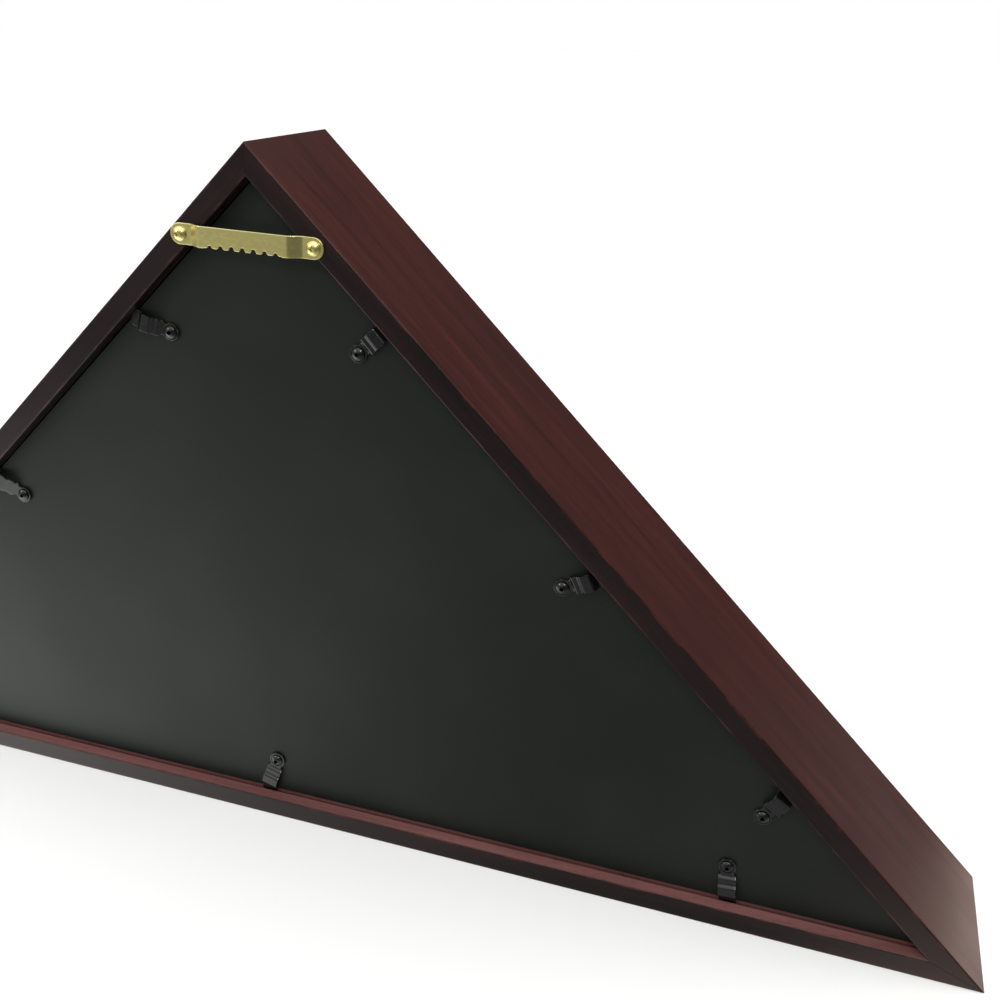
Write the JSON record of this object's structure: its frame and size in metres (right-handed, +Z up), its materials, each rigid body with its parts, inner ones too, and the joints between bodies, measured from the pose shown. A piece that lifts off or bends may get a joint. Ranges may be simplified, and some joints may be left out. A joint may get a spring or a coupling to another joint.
{
  "type": "folded flag display case",
  "caption": "Triangular mitred wooden display box for a folded flag, with a glass front, a recessed backboard held by turn buttons, and a sawtooth wall hanger.",
  "frame": {"origin": "middle of the base rail's underside, halfway through the depth", "axes": "+X along the base, to the right seen from the front; +Y from the glass front to the back; +Z up to the apex"},
  "size_m": [0.64, 0.0735, 0.32],
  "materials": {
    "mahogany_lacquer": "satin",
    "spline_wood": "plain",
    "clear_glass": "polished",
    "liner_stain": "satin",
    "bright_steel": "drawn",
    "black_board": "matt painted fibreboard",
    "black_felt": "felt",
    "button_steel": "black, semi-gloss",
    "rivet_steel": "black, semi-gloss",
    "brass_strip": "bright pressed strip",
    "brass_screw": "bright"
  },
  "bodies": {
    "case": {"left_rail": "mahogany_lacquer", "right_rail": "mahogany_lacquer", "base_rail": "mahogany_lacquer", "apex_spline": "spline_wood", "left_spline": "spline_wood", "right_spline": "spline_wood", "front_glass": "clear_glass", "left_liner": "liner_stain", "right_liner": "liner_stain", "base_liner": "liner_stain", "liner_brads": "bright_steel", "backboard": "black_board", "felt_lining": "black_felt", "button_rivets": "rivet_steel", "sawtooth_hanger": "brass_strip", "hanger_screws": "brass_screw"},
    "left_button_1": {"turn_button_left_1": "button_steel"},
    "left_button_2": {"turn_button_left_2": "button_steel"},
    "left_button_3": {"turn_button_left_3": "button_steel"},
    "right_button_1": {"turn_button_right_1": "button_steel"},
    "right_button_2": {"turn_button_right_2": "button_steel"},
    "right_button_3": {"turn_button_right_3": "button_steel"},
    "base_button_1": {"turn_button_base_1": "button_steel"},
    "base_button_2": {"turn_button_base_2": "button_steel"},
    "base_button_3": {"turn_button_base_3": "button_steel"}
  },
  "joints": [
    {"name": "left_button_1_turn", "type": "hinge", "parent": "case", "child": "left_button_1", "pos_m": [-0.04441, 0.0285, 0.23713], "axis": [0, 1, 0], "continuous": true},
    {"name": "left_button_2_turn", "type": "hinge", "parent": "case", "child": "left_button_2", "pos_m": [-0.13476, 0.0285, 0.14678], "axis": [0, 1, 0], "continuous": true},
    {"name": "left_button_3_turn", "type": "hinge", "parent": "case", "child": "left_button_3", "pos_m": [-0.22511, 0.0285, 0.05643], "axis": [0, 1, 0], "continuous": true},
    {"name": "right_button_1_turn", "type": "hinge", "parent": "case", "child": "right_button_1", "pos_m": [0.04441, 0.0285, 0.23713], "axis": [0, 1, 0], "continuous": true},
    {"name": "right_button_2_turn", "type": "hinge", "parent": "case", "child": "right_button_2", "pos_m": [0.13476, 0.0285, 0.14678], "axis": [0, 1, 0], "continuous": true},
    {"name": "right_button_3_turn", "type": "hinge", "parent": "case", "child": "right_button_3", "pos_m": [0.22511, 0.0285, 0.05643], "axis": [0, 1, 0], "continuous": true},
    {"name": "base_button_1_turn", "type": "hinge", "parent": "case", "child": "base_button_1", "pos_m": [-0.213, 0.0285, 0.0272], "axis": [0, 1, 0], "range_deg": [-155, 100]},
    {"name": "base_button_2_turn", "type": "hinge", "parent": "case", "child": "base_button_2", "pos_m": [0.004, 0.0285, 0.0272], "axis": [0, 1, 0], "continuous": true},
    {"name": "base_button_3_turn", "type": "hinge", "parent": "case", "child": "base_button_3", "pos_m": [0.213, 0.0285, 0.0272], "axis": [0, 1, 0], "range_deg": [-100, 155]}
  ]
}
